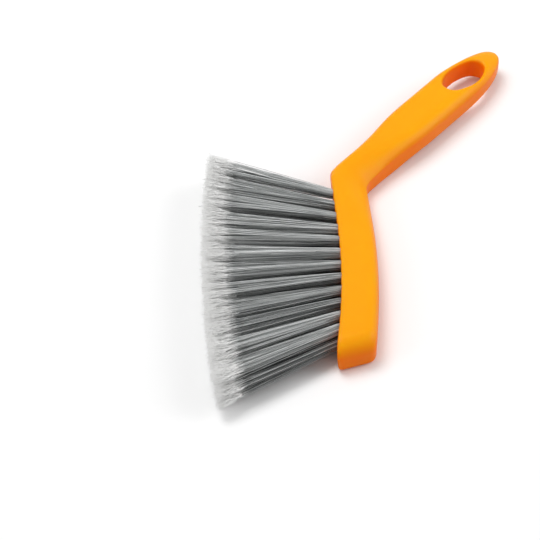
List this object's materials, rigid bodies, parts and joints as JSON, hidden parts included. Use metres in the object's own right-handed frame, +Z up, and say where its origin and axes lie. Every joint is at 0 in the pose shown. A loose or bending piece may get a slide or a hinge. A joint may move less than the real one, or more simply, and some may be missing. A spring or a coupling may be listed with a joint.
{
  "type": "hand broom",
  "caption": "Hand broom: one-piece plastic handle and head set at an angle, with an oval hang hole in the grip and fanned bristle tufts seated in one side of the head.",
  "frame": {"origin": "centre of the bounding box in plan, at the underside that the broom lies on", "axes": "+X along the handle towards its tip, +Y to the left of the handle, on the side that the bristles fan out to, +Z up from the lying broom"},
  "size_m": [0.3638, 0.18, 0.0232],
  "materials": {
    "orange_plastic": "satin moulded",
    "grey_bristle": "fine drawn filament",
    "anchor_wire": "drawn flat wire"
  },
  "bodies": {
    "root": {"handle_body": "orange_plastic", "tuft_lower_01": "grey_bristle", "tuft_lower_02": "grey_bristle", "tuft_lower_03": "grey_bristle", "tuft_lower_04": "grey_bristle", "tuft_lower_05": "grey_bristle", "tuft_lower_06": "grey_bristle", "tuft_lower_07": "grey_bristle", "tuft_lower_08": "grey_bristle", "tuft_lower_09": "grey_bristle", "tuft_lower_10": "grey_bristle", "tuft_lower_11": "grey_bristle", "tuft_lower_12": "grey_bristle", "tuft_middle_01": "grey_bristle", "tuft_middle_02": "grey_bristle", "tuft_middle_03": "grey_bristle", "tuft_middle_04": "grey_bristle", "tuft_middle_05": "grey_bristle", "tuft_middle_06": "grey_bristle", "tuft_middle_07": "grey_bristle", "tuft_middle_08": "grey_bristle", "tuft_middle_09": "grey_bristle", "tuft_middle_10": "grey_bristle", "tuft_middle_11": "grey_bristle", "tuft_middle_12": "grey_bristle", "tuft_upper_01": "grey_bristle", "tuft_upper_02": "grey_bristle", "tuft_upper_03": "grey_bristle", "tuft_upper_04": "grey_bristle", "tuft_upper_05": "grey_bristle", "tuft_upper_06": "grey_bristle", "tuft_upper_07": "grey_bristle", "tuft_upper_08": "grey_bristle", "tuft_upper_09": "grey_bristle", "tuft_upper_10": "grey_bristle", "tuft_upper_11": "grey_bristle", "tuft_upper_12": "grey_bristle", "tuft_anchors": "anchor_wire"}
  },
  "joints": []
}
